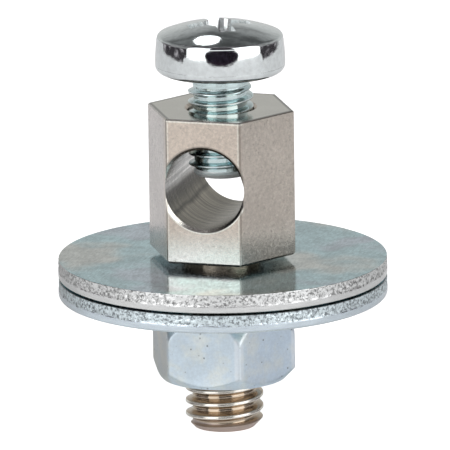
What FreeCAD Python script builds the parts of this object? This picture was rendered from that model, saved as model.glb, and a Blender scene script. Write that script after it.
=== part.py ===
import FreeCAD, Part
import math
import os

import Sketcher
from FreeCAD import Placement, Rotation, Vector

# Earthing stud terminal: a hexagonal brass block with a cross hole for a bare conductor, a pan head
# screw that clamps the conductor from above, and a threaded stud that is bolted through a panel
# between two large washers.
# Lengths are in millimetres and angles in degrees. The origin is the centre of the stud's free end,
# the stud stands along Z, and the conductor hole runs along Y.

SIZES = {
    # M6 stud
    "stud_diameter": 6.0,
    "stud_length": 13.65,
    "stud_end_chamfer": 0.7,
    # hexagonal block
    "block_across_flats": 10.0,
    "block_height": 11.2,
    "block_edge_radius": 0.2,
    "block_top_chamfer": 0.08,
    "block_base_chamfer": 0.2,
    # hole for the conductor
    "bore_diameter": 6.2,
    "bore_depth_below_top": 5.35,
    "bore_chamfer": 0.22,
    # tapped hole for the clamping screw
    "screw_hole_chamfer": 0.2,
    # M5 clamping screw
    "screw_diameter": 5.0,
    "screw_length": 8.0,
    "screw_clearance": 0.05,
    "screw_gap_under_head": 2.85,
    "screw_neck_diameter": 4.3,
    "screw_neck_length": 0.8,
    "screw_end_chamfer": 0.55,
    # pan head
    "head_diameter": 9.88,
    "head_shoulder_diameter": 9.56,
    "head_shoulder_height": 2.65,
    "head_height": 3.78,
    "head_lower_radius": 0.5,
    "head_shoulder_radius": 0.25,
    # cross recess
    "recess_span": 5.3,
    "recess_floor_span": 2.1,
    "recess_wing_width": 1.25,
    "recess_floor_wing_width": 0.95,
    "recess_depth": 2.4,
    "recess_core_diameter": 2.5,
    "recess_core_floor_diameter": 1.5,
    "recess_point_depth": 0.35,
    "recess_turn": 47.8,
    # large washers
    "washer_diameter": 25.0,
    "washer_hole_diameter": 6.4,
    "washer_thickness": 1.5,
    "washer_rim_chamfer": 0.12,
    "washer_hole_chamfer": 0.1,
    # free height between the block and the upper washer
    "washer_play": 0.413,
    # toothed lock washer
    "lock_washer_diameter": 11.0,
    "lock_washer_hole_diameter": 6.4,
    "lock_washer_ring_diameter": 8.7,
    "lock_washer_thickness": 0.7,
    "lock_tooth_width": 2.3,
    "lock_tooth_root_width": 2.0,
    "lock_tooth_root_thickness": 0.66,
    "lock_tooth_twist": 18.3,
    "lock_tooth_count": 8,
    # M6 hexagon nut
    "nut_across_flats": 9.88,
    "nut_height": 4.95,
    "nut_face_diameter": 9.44,
    "nut_chamfer_angle": 43.5,
    "nut_edge_radius": 0.3,
    "nut_clearance": 0.05,
    "nut_thread_chamfer": 0.35,
    "nut_turn": -1.8,
}

# A rotation by no angle has no axis, so one whose angle follows the sheet starts at one degree.
TURN_ABOUT_Z = Rotation(Vector(0, 0, 1), 1.0)

doc = FreeCAD.newDocument("earthing_stud_terminal")
sheet = doc.addObject("Spreadsheet::Sheet", "dims")
for row, (alias, value) in enumerate(SIZES.items(), start=1):
    sheet.set(f"A{row}", alias)
    sheet.set(f"B{row}", str(value))
    sheet.setAlias(f"B{row}", alias)
doc.recompute()


def measure(expression):
    """The present value of an expression in the sheet's sizes."""
    return float(sheet.evalExpression(expression.replace("dims.", "")))


def new_body(name, height=None, turn=None):
    """A body whose place above the stud's end and turn about Z follow the sheet."""
    body = doc.addObject("PartDesign::Body", name)
    body.Label = name
    body.Placement = Placement(Vector(0, 0, 0), TURN_ABOUT_Z if turn else Rotation())
    if height:
        body.setExpression("Placement.Base.z", height)
    if turn:
        body.setExpression("Placement.Rotation.Angle", turn)
    return body


def new_sketch(body, name, plane, offset=None):
    """A sketch on one of the body's own origin planes, moved by the expressions in offset."""
    sketch = body.newObject("Sketcher::SketchObject", name)
    support = next(f for f in body.Origin.OriginFeatures if f.Role == plane)
    sketch.AttachmentSupport = [(support, "")]
    sketch.MapMode = "FlatFace"
    for path, expression in (offset or {}).items():
        sketch.setExpression("AttachmentOffset." + path, expression)
    doc.recompute()
    return sketch


def hold(sketch, kind, targets, expression):
    """Adds one dimension to a sketch, tied to the sheet."""
    index = sketch.addConstraint(Sketcher.Constraint(kind, *targets, measure(expression)))
    name = f"size_{index}"
    sketch.renameConstraint(index, name)
    sketch.setExpression("Constraints." + name, expression)


def hold_point(sketch, point, x, y):
    """Places a sketch point by two expressions; "0" puts it on an axis and None leaves it free."""
    horizontal_axis, vertical_axis = -1, -2
    origin = (horizontal_axis, 1)
    for kind, axis, expression in (("DistanceX", vertical_axis, x), ("DistanceY", horizontal_axis, y)):
        if expression == "0":
            sketch.addConstraint(Sketcher.Constraint("PointOnObject", *point, axis))
        elif expression is not None:
            hold(sketch, kind, (*origin, *point), expression)


def close_outline(sketch, edges):
    """Joins the end of each edge to the start of the next one, all the way round."""
    for edge, following in zip(edges, edges[1:] + edges[:1]):
        sketch.addConstraint(Sketcher.Constraint("Coincident", edge, 2, following, 1))


def draw_outline(sketch, corners):
    """A closed outline of straight edges through corners, each a pair of expressions."""
    places = [Vector(measure(x), measure(y), 0) for x, y in corners]
    sides = [Part.LineSegment(start, end) for start, end in zip(places, places[1:] + places[:1])]
    edges = [sketch.addGeometry(side, False) for side in sides]
    close_outline(sketch, edges)
    for edge, (x, y) in zip(edges, corners):
        hold_point(sketch, (edge, 1), x, y)


def draw_circle(sketch, diameter, x="0", y="0"):
    """A circle whose diameter and centre are expressions."""
    centre = Vector(measure(x), measure(y), 0)
    index = sketch.addGeometry(Part.Circle(centre, Vector(0, 0, 1), measure(diameter) / 2), False)
    hold(sketch, "Diameter", (index,), diameter)
    hold_point(sketch, (index, 3), x, y)


def hexagon_corners(across_flats):
    """Corners of a hexagon with two corners on the X axis and two flats facing along Y."""
    far, near, side = f"{across_flats} / sqrt(3)", f"{across_flats} / sqrt(12)", f"{across_flats} / 2"
    return [
        (far, "0"),
        (near, side),
        ("-" + near, side),
        ("-" + far, "0"),
        ("-" + near, "-" + side),
        (near, "-" + side),
    ]


def add_feature(body, kind, name, sketch=None, **settings):
    """A PartDesign feature; text settings are expressions and the others plain values."""
    feature = body.newObject("PartDesign::" + kind, name)
    if sketch is not None:
        feature.Profile = sketch
        sketch.Visibility = False
    for key, value in settings.items():
        if isinstance(value, str) and key not in ("Type", "SideType"):
            feature.setExpression(key, value)
        else:
            setattr(feature, key, value)
    doc.recompute()
    return feature


def must_shrink(body, feature):
    """A cut that faces away from the solid removes nothing and shows no error, so its work is checked."""
    before = feature.BaseFeature.Shape.Volume
    if not feature.Shape.Volume < before - 1e-6:
        raise RuntimeError(f"{feature.Name} in {body.Label} removes nothing")


def edges_where(shape, test):
    """Names of the edges whose ends and middle pass a test."""
    names = []
    for number, edge in enumerate(shape.Edges, start=1):
        middle = edge.valueAt((edge.FirstParameter + edge.LastParameter) / 2)
        if test([v.Point for v in edge.Vertexes] + [middle]):
            names.append(f"Edge{number}")
    return names


def dress_edges(body, kind, name, size, test):
    """A fillet or chamfer on the edges of the body's tip that pass a test."""
    base = body.Tip
    names = edges_where(base.Shape, test)
    if not names:
        raise RuntimeError(f"{name} in {body.Label} finds no edge")
    feature = body.newObject("PartDesign::" + kind, name)
    feature.Base = (base, names)
    feature.setExpression("Radius" if kind == "Fillet" else "Size", size)
    doc.recompute()
    return feature


def upright(points):
    """True for points on one line along Z."""
    return all(abs(p.x - points[0].x) + abs(p.y - points[0].y) < 1e-4 for p in points) and (
        abs(points[0].z - points[1].z) > 1e-4
    )


def at_height(z):
    """A test for points that lie at one height."""
    return lambda points: all(abs(p.z - z) < 1e-4 for p in points)


def on_ring(radius, z=None):
    """A test for points at one distance from the Z axis, and at one height where it is given."""
    return lambda points: all(
        abs((p.x**2 + p.y**2) ** 0.5 - radius) < 1e-4 and (z is None or abs(p.z - z) < 1e-4) for p in points
    )


def make_clamp_body():
    """Block, conductor hole, tapped hole and stud, turned and milled from one hexagonal bar."""
    body = new_body("clamp_body")
    block_base = "dims.stud_length"
    block_top = "(dims.stud_length + dims.block_height)"
    bore_height = f"({block_top} - dims.bore_depth_below_top)"

    bar = new_sketch(body, "bar_section", "XY_Plane", {"Base.z": block_base})
    draw_outline(bar, hexagon_corners("dims.block_across_flats"))
    add_feature(body, "Pad", "block", bar, Length="dims.block_height")
    dress_edges(body, "Fillet", "bar_edges", "dims.block_edge_radius", upright)
    dress_edges(body, "Chamfer", "block_top_rim", "dims.block_top_chamfer", at_height(measure(block_top)))
    dress_edges(body, "Chamfer", "block_base_rim", "dims.block_base_chamfer", at_height(measure(block_base)))

    shank = new_sketch(body, "stud_section", "XY_Plane")
    draw_circle(shank, "dims.stud_diameter")
    add_feature(body, "Pad", "stud", shank, Length="dims.stud_length")
    end_rim = on_ring(measure("dims.stud_diameter / 2"), 0)
    dress_edges(body, "Chamfer", "stud_end", "dims.stud_end_chamfer", end_rim)

    bore = new_sketch(body, "bore_section", "XZ_Plane")
    draw_circle(bore, "dims.bore_diameter", "0", bore_height)
    must_shrink(body, add_feature(body, "Pocket", "conductor_bore", bore, Type="ThroughAll", Midplane=True))

    mouths = new_sketch(body, "bore_mouths", "YZ_Plane", {"Base.y": bore_height})
    wall, face = "dims.bore_diameter / 2", "dims.block_across_flats / 2"
    for side in ("", "-"):
        draw_outline(
            mouths,
            [
                (f"{side}({face} - dims.bore_chamfer)", wall),
                (f"{side}({face})", wall),
                (f"{side}({face})", f"{wall} + dims.bore_chamfer"),
            ],
        )
    countersink = add_feature(body, "Groove", "bore_chamfers", mouths, ReferenceAxis=(mouths, ["H_Axis"]))
    must_shrink(body, countersink)

    tapping = new_sketch(body, "screw_hole_section", "XY_Plane", {"Base.z": block_top})
    draw_circle(tapping, "dims.screw_diameter + 2 * dims.screw_clearance")
    hole = add_feature(body, "Pocket", "screw_hole", tapping, Length="dims.bore_depth_below_top")
    must_shrink(body, hole)
    mouth = on_ring(measure("dims.screw_diameter / 2 + dims.screw_clearance"), measure(block_top))
    dress_edges(body, "Chamfer", "screw_hole_mouth", "dims.screw_hole_chamfer", mouth)
    return body


def make_clamping_screw():
    """Pan head screw with a cross recess, drawn with the underside of its head at height 0."""
    seat = "dims.stud_length + dims.block_height + dims.screw_gap_under_head"
    body = new_body("clamping_screw", seat, "dims.recess_turn")

    radius, neck = "dims.screw_diameter / 2", "dims.screw_neck_diameter / 2"
    shank = new_sketch(body, "shank_profile", "XZ_Plane")
    draw_outline(
        shank,
        [
            ("0", "-dims.screw_length"),
            (f"{radius} - dims.screw_end_chamfer", "-dims.screw_length"),
            (radius, "-dims.screw_length + dims.screw_end_chamfer"),
            (radius, f"-dims.screw_neck_length - ({radius} - {neck})"),
            (neck, "-dims.screw_neck_length"),
            (neck, "0"),
            ("0", "0"),
        ],
    )
    add_feature(body, "Revolution", "shank", shank, ReferenceAxis=(shank, ["V_Axis"]))

    head = new_sketch(body, "head_profile", "XZ_Plane")
    middle = Vector(0, 0, 0)
    rim = Vector(measure("dims.head_diameter / 2"), 0, 0)
    shoulder = Vector(measure("dims.head_shoulder_diameter / 2"), measure("dims.head_shoulder_height"), 0)
    crown = Vector(0, measure("dims.head_height"), 0)
    rise = crown.y - shoulder.y
    dome_radius = (shoulder.x**2 + rise**2) / (2 * rise)
    dome_centre = Vector(0, crown.y - dome_radius, 0)
    dome_circle = Part.Circle(dome_centre, Vector(0, 0, 1), dome_radius)
    shoulder_angle = math.atan2(shoulder.y - dome_centre.y, shoulder.x)
    sides = [
        Part.LineSegment(middle, rim),
        Part.LineSegment(rim, shoulder),
        Part.ArcOfCircle(dome_circle, shoulder_angle, math.pi / 2),
        Part.LineSegment(crown, middle),
    ]
    base, flank, dome, axis = [head.addGeometry(side, False) for side in sides]
    close_outline(head, [base, flank, dome, axis])
    hold_point(head, (base, 1), "0", "0")
    hold_point(head, (flank, 1), "dims.head_diameter / 2", "0")
    hold_point(head, (dome, 1), "dims.head_shoulder_diameter / 2", "dims.head_shoulder_height")
    hold_point(head, (dome, 3), "0", None)
    hold_point(head, (axis, 1), "0", "dims.head_height")
    add_feature(body, "Revolution", "pan_head", head, ReferenceAxis=(head, ["V_Axis"]))
    lower_rim = on_ring(rim.x, 0)
    dress_edges(body, "Fillet", "head_lower_rim", "dims.head_lower_radius", lower_rim)
    upper_rim = on_ring(shoulder.x, shoulder.y)
    dress_edges(body, "Fillet", "head_shoulder", "dims.head_shoulder_radius", upper_rim)

    floor = "dims.head_height - dims.recess_depth"
    wing_top = new_sketch(body, "wing_at_crown", "XY_Plane", {"Base.z": "dims.head_height"})
    wing_floor = new_sketch(body, "wing_at_floor", "XY_Plane", {"Base.z": floor})
    for sketch, span, width in (
        (wing_top, "dims.recess_span / 2", "dims.recess_wing_width / 2"),
        (wing_floor, "dims.recess_floor_span / 2", "dims.recess_floor_wing_width / 2"),
    ):
        draw_outline(sketch, [("0", "-" + width), (span, "-" + width), (span, width), ("0", width)])
    wing = add_feature(body, "SubtractiveLoft", "recess_wing", wing_top, Sections=[wing_floor], Ruled=True)
    must_shrink(body, wing)
    wings = body.newObject("PartDesign::PolarPattern", "recess_wings")
    wings.Originals = [wing]
    wings.Axis = (wing_top, ["N_Axis"])
    wings.Angle = 360
    wings.Occurrences = 4
    body.Tip = wings
    doc.recompute()

    core = new_sketch(body, "recess_core_profile", "XZ_Plane")
    draw_outline(
        core,
        [
            ("0", f"{floor} - dims.recess_point_depth"),
            ("dims.recess_core_floor_diameter / 2", floor),
            ("dims.recess_core_diameter / 2", "dims.head_height"),
            ("0", "dims.head_height"),
        ],
    )
    must_shrink(body, add_feature(body, "Groove", "recess_core", core, ReferenceAxis=(core, ["V_Axis"])))
    return body


def make_washer(name, height):
    """Large flat washer, punched from sheet, with its sharp edges broken."""
    body = new_body(name, height)
    ring = new_sketch(body, name + "_section", "XY_Plane")
    draw_circle(ring, "dims.washer_diameter")
    draw_circle(ring, "dims.washer_hole_diameter")
    add_feature(body, "Pad", name + "_sheet", ring, Length="dims.washer_thickness")
    rim = on_ring(measure("dims.washer_diameter / 2"))
    dress_edges(body, "Chamfer", name + "_rim", "dims.washer_rim_chamfer", rim)
    hole = on_ring(measure("dims.washer_hole_diameter / 2"))
    dress_edges(body, "Chamfer", name + "_hole", "dims.washer_hole_chamfer", hole)
    return body


def make_lock_washer(height):
    """Spring steel ring with outer teeth twisted about their own radii; height 0 is its middle plane."""
    body = new_body("lock_washer", height)
    thickness = "dims.lock_washer_thickness"
    ring = new_sketch(body, "ring_section", "XY_Plane")
    draw_circle(ring, "dims.lock_washer_ring_diameter")
    draw_circle(ring, "dims.lock_washer_hole_diameter")
    add_feature(body, "Pad", "spring_ring", ring, Length=thickness, Midplane=True)

    inside_ring = "(dims.lock_washer_ring_diameter + dims.lock_washer_hole_diameter) / 4"
    root = new_sketch(body, "tooth_root", "YZ_Plane", {"Base.z": inside_ring})
    tip = new_sketch(body, "tooth_tip", "YZ_Plane", {"Base.z": "dims.lock_washer_diameter / 2"})
    tip.AttachmentOffset = Placement(tip.AttachmentOffset.Base, TURN_ABOUT_Z)
    tip.setExpression("AttachmentOffset.Rotation.Angle", "dims.lock_tooth_twist")
    for sketch, width, depth in (
        (root, "dims.lock_tooth_root_width / 2", "dims.lock_tooth_root_thickness / 2"),
        (tip, "dims.lock_tooth_width / 2", thickness + " / 2"),
    ):
        corners = [("-" + width, "-" + depth), (width, "-" + depth), (width, depth), ("-" + width, depth)]
        draw_outline(sketch, corners)
    tooth = add_feature(body, "AdditiveLoft", "tooth", root, Sections=[tip], Ruled=True)
    teeth = body.newObject("PartDesign::PolarPattern", "teeth")
    teeth.Originals = [tooth]
    teeth.Axis = (ring, ["N_Axis"])
    teeth.Angle = 360
    teeth.setExpression("Occurrences", "dims.lock_tooth_count")
    body.Tip = teeth
    doc.recompute()

    outside = new_sketch(body, "tooth_tip_trim", "XZ_Plane")
    edge, clear = "dims.lock_washer_diameter / 2", "dims.lock_washer_diameter"
    draw_outline(outside, [(edge, "-" + clear), (clear, "-" + clear), (clear, clear), (edge, clear)])
    tips = add_feature(body, "Groove", "tooth_tips", outside, ReferenceAxis=(outside, ["V_Axis"]))
    must_shrink(body, tips)
    return body


def make_hex_nut(height):
    """Hexagon nut, chamfered on both faces."""
    body = new_body("hex_nut", height, "dims.nut_turn")
    bar = new_sketch(body, "nut_section", "XY_Plane")
    draw_outline(bar, hexagon_corners("dims.nut_across_flats"))
    draw_circle(bar, "dims.stud_diameter + 2 * dims.nut_clearance")
    add_feature(body, "Pad", "nut_blank", bar, Length="dims.nut_height")
    on_corner = on_ring(measure("dims.nut_across_flats / sqrt(3)"))
    dress_edges(body, "Fillet", "nut_edges", "dims.nut_edge_radius", lambda p: upright(p) and on_corner(p))

    inner, outer = "dims.nut_face_diameter / 2", "dims.nut_across_flats"
    drop = f"({outer} - {inner}) * tan(dims.nut_chamfer_angle)"
    corners = new_sketch(body, "nut_corner_profile", "XZ_Plane")
    draw_outline(corners, [(inner, "0"), (outer, "0"), (outer, drop)])
    top = "dims.nut_height"
    draw_outline(corners, [(inner, top), (outer, f"{top} - {drop}"), (outer, top)])
    axis = (corners, ["V_Axis"])
    chamfers = add_feature(body, "Groove", "nut_corner_chamfers", corners, ReferenceAxis=axis)
    must_shrink(body, chamfers)
    mouth = on_ring(measure("dims.stud_diameter / 2 + dims.nut_clearance"))
    dress_edges(body, "Chamfer", "nut_thread_mouths", "dims.nut_thread_chamfer", mouth)
    return body


# Heights, from the block downwards: the washers hang under the block by their play, and the lock
# washer, as high as its twisted teeth, parts them from the nut.
upper_washer_base = "dims.stud_length - dims.washer_play - dims.washer_thickness"
lower_washer_base = f"{upper_washer_base} - dims.washer_thickness"
lock_height = (
    "(dims.lock_tooth_width * sin(dims.lock_tooth_twist)"
    " + dims.lock_washer_thickness * cos(dims.lock_tooth_twist))"
)
lock_middle = f"{lower_washer_base} - {lock_height} / 2"
nut_base = f"{lower_washer_base} - {lock_height} - dims.nut_height"

parts = [
    make_clamp_body(),
    make_clamping_screw(),
    make_washer("upper_washer", upper_washer_base),
    make_washer("lower_washer", lower_washer_base),
    make_lock_washer(lock_middle),
    make_hex_nut(nut_base),
]
doc.recompute()

for item in doc.Objects:
    if "Invalid" in item.State or "Error" in item.State:
        raise RuntimeError(f"{item.Name} failed: {item.State}")
os.makedirs("parts", exist_ok=True)
for body in parts:
    shape = body.Shape
    if shape.isNull() or not shape.isValid() or len(shape.Solids) != 1:
        raise RuntimeError(f"{body.Label} is not one valid solid")
    box = shape.BoundBox
    extent = f"z {box.ZMin:.3f} to {box.ZMax:.3f}, width {box.XLength:.3f}"
    print(f"{body.Label}: {shape.Volume:.2f} mm3, {extent}")
for body in parts:
    body.Shape.exportStep(os.path.join("parts", body.Label + ".step"))
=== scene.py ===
"""Earthing stud terminal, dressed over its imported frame.

Lengths are in metres, apart from the defaults of the settings and the terms that millimetres() gives. Z is
the stud's axis and Y the conductor hole's. Heights start at the stud's free end, which stands on the floor.
"""

import math
from contextlib import contextmanager

import bmesh
import bpy
from bpy.props import FloatProperty, FloatVectorProperty, IntProperty, PointerProperty
from mathutils import Matrix, Vector, noise


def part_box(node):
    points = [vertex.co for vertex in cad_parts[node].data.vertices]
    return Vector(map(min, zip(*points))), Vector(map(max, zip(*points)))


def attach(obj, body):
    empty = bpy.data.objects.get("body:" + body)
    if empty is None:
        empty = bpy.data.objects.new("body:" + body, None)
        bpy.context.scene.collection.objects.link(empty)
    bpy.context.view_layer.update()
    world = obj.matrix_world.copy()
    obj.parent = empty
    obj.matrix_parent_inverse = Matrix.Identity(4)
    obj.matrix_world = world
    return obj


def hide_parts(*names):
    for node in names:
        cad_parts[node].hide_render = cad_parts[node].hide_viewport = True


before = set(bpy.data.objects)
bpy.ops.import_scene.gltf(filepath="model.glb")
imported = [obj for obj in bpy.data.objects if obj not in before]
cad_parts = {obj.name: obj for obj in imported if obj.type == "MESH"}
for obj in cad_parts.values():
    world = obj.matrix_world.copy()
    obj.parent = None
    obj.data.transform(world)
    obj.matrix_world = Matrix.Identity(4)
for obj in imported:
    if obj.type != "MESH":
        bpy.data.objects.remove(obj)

bl_info = {
    "name": "Earthing stud terminal",
    "version": (1, 0, 0),
    "blender": (4, 5, 0),
    "location": "3D View > Sidebar > Terminal",
    "description": "Builds a stud terminal with its clamping screw, washers and nut",
    "category": "Object",
}

MM = 0.001
WELD = 0.0005 * MM
FACING = 0.9
ABOVE = Vector((0, 0, 1))

BLOCK_LOW, BLOCK_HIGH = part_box("clamp_body")
SCREW_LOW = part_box("clamping_screw")[0]
NUT_LOW, NUT_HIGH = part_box("hex_nut")
WASHERS = ("upper_washer", "lower_washer")


# Settings


def setting(kind, description, default, **limits):
    """A property that still lacks its name, which named() gives."""
    return lambda name: kind(name=name, description=description, default=default, **limits)


def length(description, size):
    """A size, written in millimetres and kept in metres."""
    return setting(FloatProperty, description, size * MM, unit="LENGTH", precision=6)


def angle(description, degrees):
    """An angle, written in degrees and kept in radians."""
    return setting(FloatProperty, description, math.radians(degrees), unit="ROTATION")


def fraction(description, default):
    """A number from 0 to 1."""
    return setting(FloatProperty, description, default, min=0, max=1)


def colour(description, *default):
    """A linear colour."""
    return setting(FloatVectorProperty, description, default, size=3, subtype="COLOR", min=0, max=1)


def named(group):
    """Makes the settings of a group, each with the words of its key as its name."""
    for key, unnamed in group.__annotations__.items():
        group.__annotations__[key] = unnamed(key.replace("_", " ").capitalize())
    return group


@named
class BlockSettings(bpy.types.PropertyGroup):
    """Block and stud."""

    underside: length("Height of the block's underside", 13.65)
    bore_radius: length("Radius of the conductor hole", 3.1)
    bore_height: length("Height of the conductor hole's axis", 19.5)
    pitch: length("Height of one turn of the thread", 1.0)
    crest: length("Outer radius of the thread", 2.97)
    root: length("Inner radius of the thread", 2.42)
    first_crest: length("Height of a crest over the X axis", 0.475)
    end_radius: length("Radius of the stud's flat end", 2.3)
    end_chamfer: length("Height of the end's chamfer", 0.7)
    neck: length("Radius of the plain neck under the block", 2.9)
    neck_length: length("Height of that neck", 1.1)
    neck_flare: length("Radius of the hollow in which that neck meets the block", 1000)
    crest_width: fraction("Share of half a pitch that is flat crest", 0.14)
    root_start: fraction("Share of half a pitch at which the root begins", 0.82)
    nickel: colour("Plated face of the block", 0.72, 0.63, 0.55)
    # Painted light: the left side's plating is painted lighter and the right side's darker than the front's
    left_nickel: colour("Plating on the block's left side", 0.72, 0.68, 0.66)
    right_nickel: colour("Plating on the block's right side", 0.61, 0.555, 0.5)
    # Painted highlights on the block's edges and a painted reflection at its foot
    worn_nickel: colour("Rubbed edges and foot of the block", 1.0, 0.98, 0.9)
    faced_nickel: colour("Finely turned top of the block", 0.57, 0.55, 0.5)
    bore_nickel: colour("Drilled wall low in the hole", 0.68, 0.62, 0.52)
    # Painted light: the hole's wall is painted near white from its sides up
    bore_side: colour("Drilled wall at the hole's sides", 0.98, 0.97, 0.95)
    stud_nickel: colour("Thin plating on the thread", 0.53, 0.435, 0.335)
    # Painted highlight: the crests are painted lighter than the thread
    stud_crest: colour("Rubbed crests of the thread", 0.95, 0.92, 0.86)
    stud_end: colour("Plating on the stud's end", 0.5, 0.42, 0.38)


@named
class ScrewSettings(bpy.types.PropertyGroup):
    """Clamping screw."""

    head_underside: length("Height of the head's underside", 27.64)
    pitch: length("Height of one turn of the thread", 0.8)
    crest: length("Outer radius of the thread", 2.48)
    root: length("Inner radius of the thread", 2.05)
    first_crest: length("Height of a crest over the X axis", 25.694)
    end_radius: length("Radius of the flat end", 1.95)
    end_chamfer: length("Height of the end's chamfer", 0.55)
    neck: length("Radius of the plain neck under the head", 2.13)
    neck_length: length("Height of that neck", 1.0)
    neck_flare: length("Radius of the hollow in which that neck meets the head", 1000)
    crest_width: fraction("Share of half a pitch that is flat crest", 0.1)
    root_start: fraction("Share of half a pitch at which the root begins", 0.64)
    head_radius: length("Widest radius of the head", 4.94)
    shoulder_radius: length("Radius where the dome begins", 4.76)
    shoulder_height: length("Height of the shoulder over the underside", 2.86)
    head_height: length("Height of the crown over the underside", 3.83)
    lower_rounding: length("Radius of the head's lower edge", 0.6)
    shoulder_rounding: length("Radius of the head's shoulder", 0.35)
    recess_reach: length("Reach of a wing of the recess at the crown", 2.6)
    recess_floor_reach: length("Reach of a wing at its floor", 1.05)
    recess_width: length("Width of a wing at the crown", 1.25)
    recess_floor_width: length("Width of a wing at its floor", 0.95)
    recess_depth: length("Depth of the wings under the crown", 2.4)
    recess_core: length("Radius of the recess's core at the crown", 1.25)
    recess_core_floor: length("Radius of the core at the wings' floor", 0.75)
    recess_point: length("Depth of the core's point under the wings", 0.35)
    recess_turn: angle("Turn of the recess about the screw's axis", 31)
    zinc: colour("Bright plating of the head", 0.76, 0.8, 0.81)
    thread_zinc: colour("Plating of the thread", 0.64, 0.76, 0.77)
    # Painted highlight: the crests are painted lighter than the thread
    crest_zinc: colour("Rubbed crests of the thread", 0.88, 0.95, 0.96)
    end_zinc: colour("Dull plating of the screw's end", 0.84, 0.88, 0.88)


@named
class WasherSettings(bpy.types.PropertyGroup):
    """Large washers."""

    hole: length("Radius of the hole", 3.2)
    hole_rounding: length("Radius of the hole's edges", 0.1)
    roll: length("Radius of the lower edge, drawn in by the punch", 0.3)
    burr: length("Radius of the upper edge", 0.08)
    torn_share: fraction("Share of the rim that is torn", 0.6)
    torn_depth: length("Depth of the torn rim's roughness", 0.08)
    columns: setting(IntProperty, "Steps round the rim", 720)
    rows: setting(IntProperty, "Steps up the rim", 16)
    lilac_zinc: colour("Plated sheet where it looks lilac", 0.57, 0.66, 0.75)
    zinc: colour("Plated sheet where it looks blue", 0.48, 0.68, 0.73)
    warm_zinc: colour("Plated sheet where it looks warm", 0.67, 0.69, 0.66)
    upper_rim: colour("Plated rim of the upper washer", 0.79, 0.8, 0.8)
    lower_rim: colour("Plated rim of the lower washer", 0.72, 0.81, 0.88)


@named
class NutSettings(bpy.types.PropertyGroup):
    """Hexagon nut and lock washer."""

    across_flats: length("Width over two flats", 9.88)
    face_radius: length("Radius of the flat lower face inside the chamfer", 4.74)
    chamfer: angle("Slope of the lower chamfer", 46)
    top_face_radius: length("Radius of the flat upper face", 5.2)
    top_chamfer: angle("Slope of the upper chamfer", 69)
    corner_rounding: length("Softness of the six upright corners", 0.22)
    chamfer_rounding: length("Softness of the chamfers' edges", 0.16)
    bore: length("Radius of the nut's bore", 3.05)
    bore_chamfer: length("Width of the bore's chamfers", 0.35)
    turn: angle("Turn of the nut's flats about the stud", -1.8)
    zinc: colour("Dull plating of the nut", 0.69, 0.8, 0.89)
    pale_zinc: colour("Rubbed patches of the nut", 0.8, 0.86, 0.86)
    spring_zinc: colour("Plating of the lock washer", 0.5, 0.53, 0.54)
    pale_spring: colour("Rubbed patches of the lock washer", 0.56, 0.58, 0.57)


@named
class StageSettings(bpy.types.PropertyGroup):
    """Camera, lights and floor."""

    azimuth: angle("Camera's turn about the object", 16.3)
    elevation: angle("Camera's height over the horizon", 13.79)
    roll: angle("Camera's turn about its own axis", 0.741)
    distance: length("From the camera to the point it aims at", 1032)
    focal_length: setting(FloatProperty, "Lens of the camera, in millimetres", 1088)
    aim_height: length("Height of the fitted centre", 13.14)
    shift_right: length("From the fitted centre to the picture's centre", 0.175)
    shift_up: length("From the fitted centre to the picture's centre", 2.42)
    softbox: setting(FloatProperty, "Brightness of the softboxes; 1 is white", 1.7)
    backdrop: colour("Room behind the object", 0.62, 0.63, 0.62)
    ceiling: colour("Room over the object", 0.13, 0.135, 0.135)
    room: colour("Dim room round the camera", 0.05, 0.045, 0.05)
    clutter: colour("Pale blots in the room", 0.45, 0.42, 0.44)
    floor: colour("Pale floor", 0.9, 0.9, 0.9)
    floor_radius: length("Radius of the floor", 600)
    table: length("Radius of the floor that the metal mirrors", 500)
    card_distance: length("From the object to the dark card in front of it", 450)
    card_turn: angle("Turn of the card from the camera's side", 2.5)
    card_height: length("Height of the card's centre", 25)
    card_half_width: length("From the card's centre to its side", 260)
    card_half_height: length("From the card's centre to its top", 47)


# Node maths


def operator(kind, swapped=False):
    """A method of Term that adds a Math node of one kind."""

    def method(self, other):
        return self.graph.math(kind, *((other, self) if swapped else (self, other)))

    return method


class Term:
    """A node socket that takes Python's operators; each one adds a Math node to its tree."""

    def __init__(self, graph, socket):
        self.graph = graph
        self.socket = socket

    __add__ = __radd__ = operator("ADD")
    __mul__ = __rmul__ = operator("MULTIPLY")
    __sub__, __rsub__ = operator("SUBTRACT"), operator("SUBTRACT", swapped=True)
    __truediv__, __rtruediv__ = operator("DIVIDE"), operator("DIVIDE", swapped=True)
    lower_of, higher_of = operator("MINIMUM"), operator("MAXIMUM")

    def __neg__(self):
        return self * -1.0

    def __abs__(self):
        return self.graph.math("ABSOLUTE", self)

    def within(self, low, high):
        """This value held between two others."""
        return self.higher_of(low).lower_of(high)

    def ramp(self, start, end):
        """0 before start, 1 after end and a smooth step between."""
        done = ((self - start) / (end - start)).within(0.0, 1.0)
        return done * done * (3.0 - 2.0 * done)


class Graph:
    """A node tree that is written as expressions."""

    def __init__(self, tree):
        self.tree = tree

    def add(self, kind, sockets=None, output=0, **settings):
        """A node of one kind: its settings first, then the values or links of its sockets."""
        node = self.tree.nodes.new(kind)
        for key, value in settings.items():
            setattr(node, key, value)
        for key, value in (sockets or {}).items():
            if isinstance(value, Term):
                self.tree.links.new(value.socket, node.inputs[key])
            else:
                node.inputs[key].default_value = value
        return Term(self, node.outputs[output]) if node.outputs else node

    def math(self, operation, *values):
        return self.add("ShaderNodeMath", dict(enumerate(values)), operation=operation)

    def other_output(self, term, name):
        """Another output of the node that a term comes from."""
        return Term(self, term.socket.node.outputs[name])

    def split(self, vector):
        """The X, Y and Z of a vector."""
        x = self.add("ShaderNodeSeparateXYZ", {0: vector})
        return x, self.other_output(x, "Y"), self.other_output(x, "Z")

    def hypot(self, first, second):
        """Length of the hypotenuse over two lengths."""
        return self.math("SQRT", first * first + second * second)


# Materials


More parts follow.
